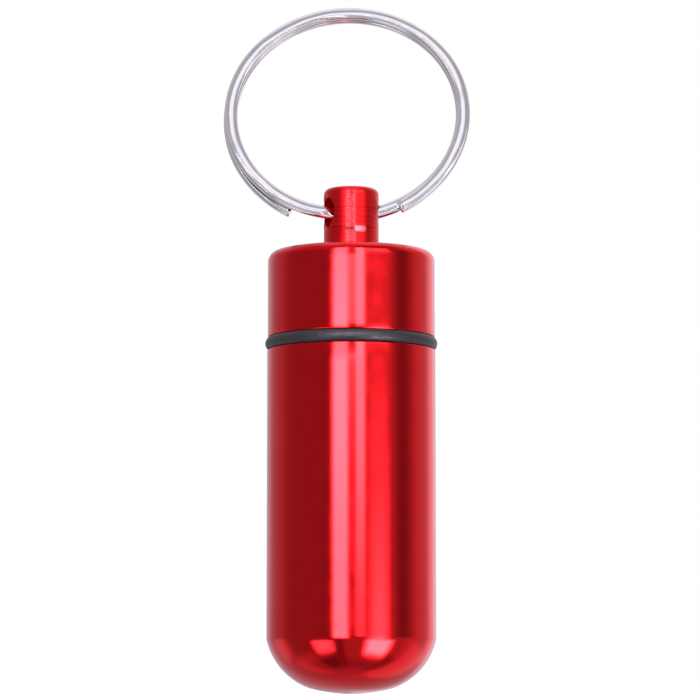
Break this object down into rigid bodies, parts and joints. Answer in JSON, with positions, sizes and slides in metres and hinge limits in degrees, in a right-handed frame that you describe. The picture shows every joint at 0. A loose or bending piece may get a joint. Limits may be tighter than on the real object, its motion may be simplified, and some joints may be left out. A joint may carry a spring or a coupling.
{
  "type": "key ring pill vial",
  "caption": "Round screw-cap pill vial with a domed end, an O-ring seal and a split key ring through a knob on its cap.",
  "frame": {"origin": "on the vial's axis at the barrel's sealing shoulder, where the O-ring sits", "axes": "+Z along the vial's axis towards the cap, +X along the cross hole through the cap's knob"},
  "size_m": [0.0236, 0.0192, 0.0708],
  "materials": {
    "red_anodised": "satin turned and anodised red",
    "black_rubber": "smooth moulded",
    "ring_steel": "bright nickel plated"
  },
  "bodies": {
    "vial": {"vial": "red_anodised"},
    "seal": {"seal_ring": "black_rubber"},
    "cap": {"cap": "red_anodised"},
    "ring": {"key_ring": "ring_steel"}
  },
  "joints": [
    {"name": "cap_turn", "type": "hinge", "parent": "vial", "child": "seal", "pos_m": [0, 0, 0], "axis": [0, 0, 1], "range_deg": [0, 2160]},
    {"name": "cap_lift", "type": "slide", "parent": "seal", "child": "cap", "axis": [0, 0, 1], "range_m": [0, 0.006]},
    {"name": "ring_swing", "type": "hinge", "parent": "cap", "child": "ring", "pos_m": [0, 0, 0.01385], "axis": [1, 0, 0], "range_deg": [-74, 117]}
  ],
  "couplings": [
    {"joint": "cap_turn", "follows": "cap_lift", "rad_per_m": 6283.2}
  ]
}
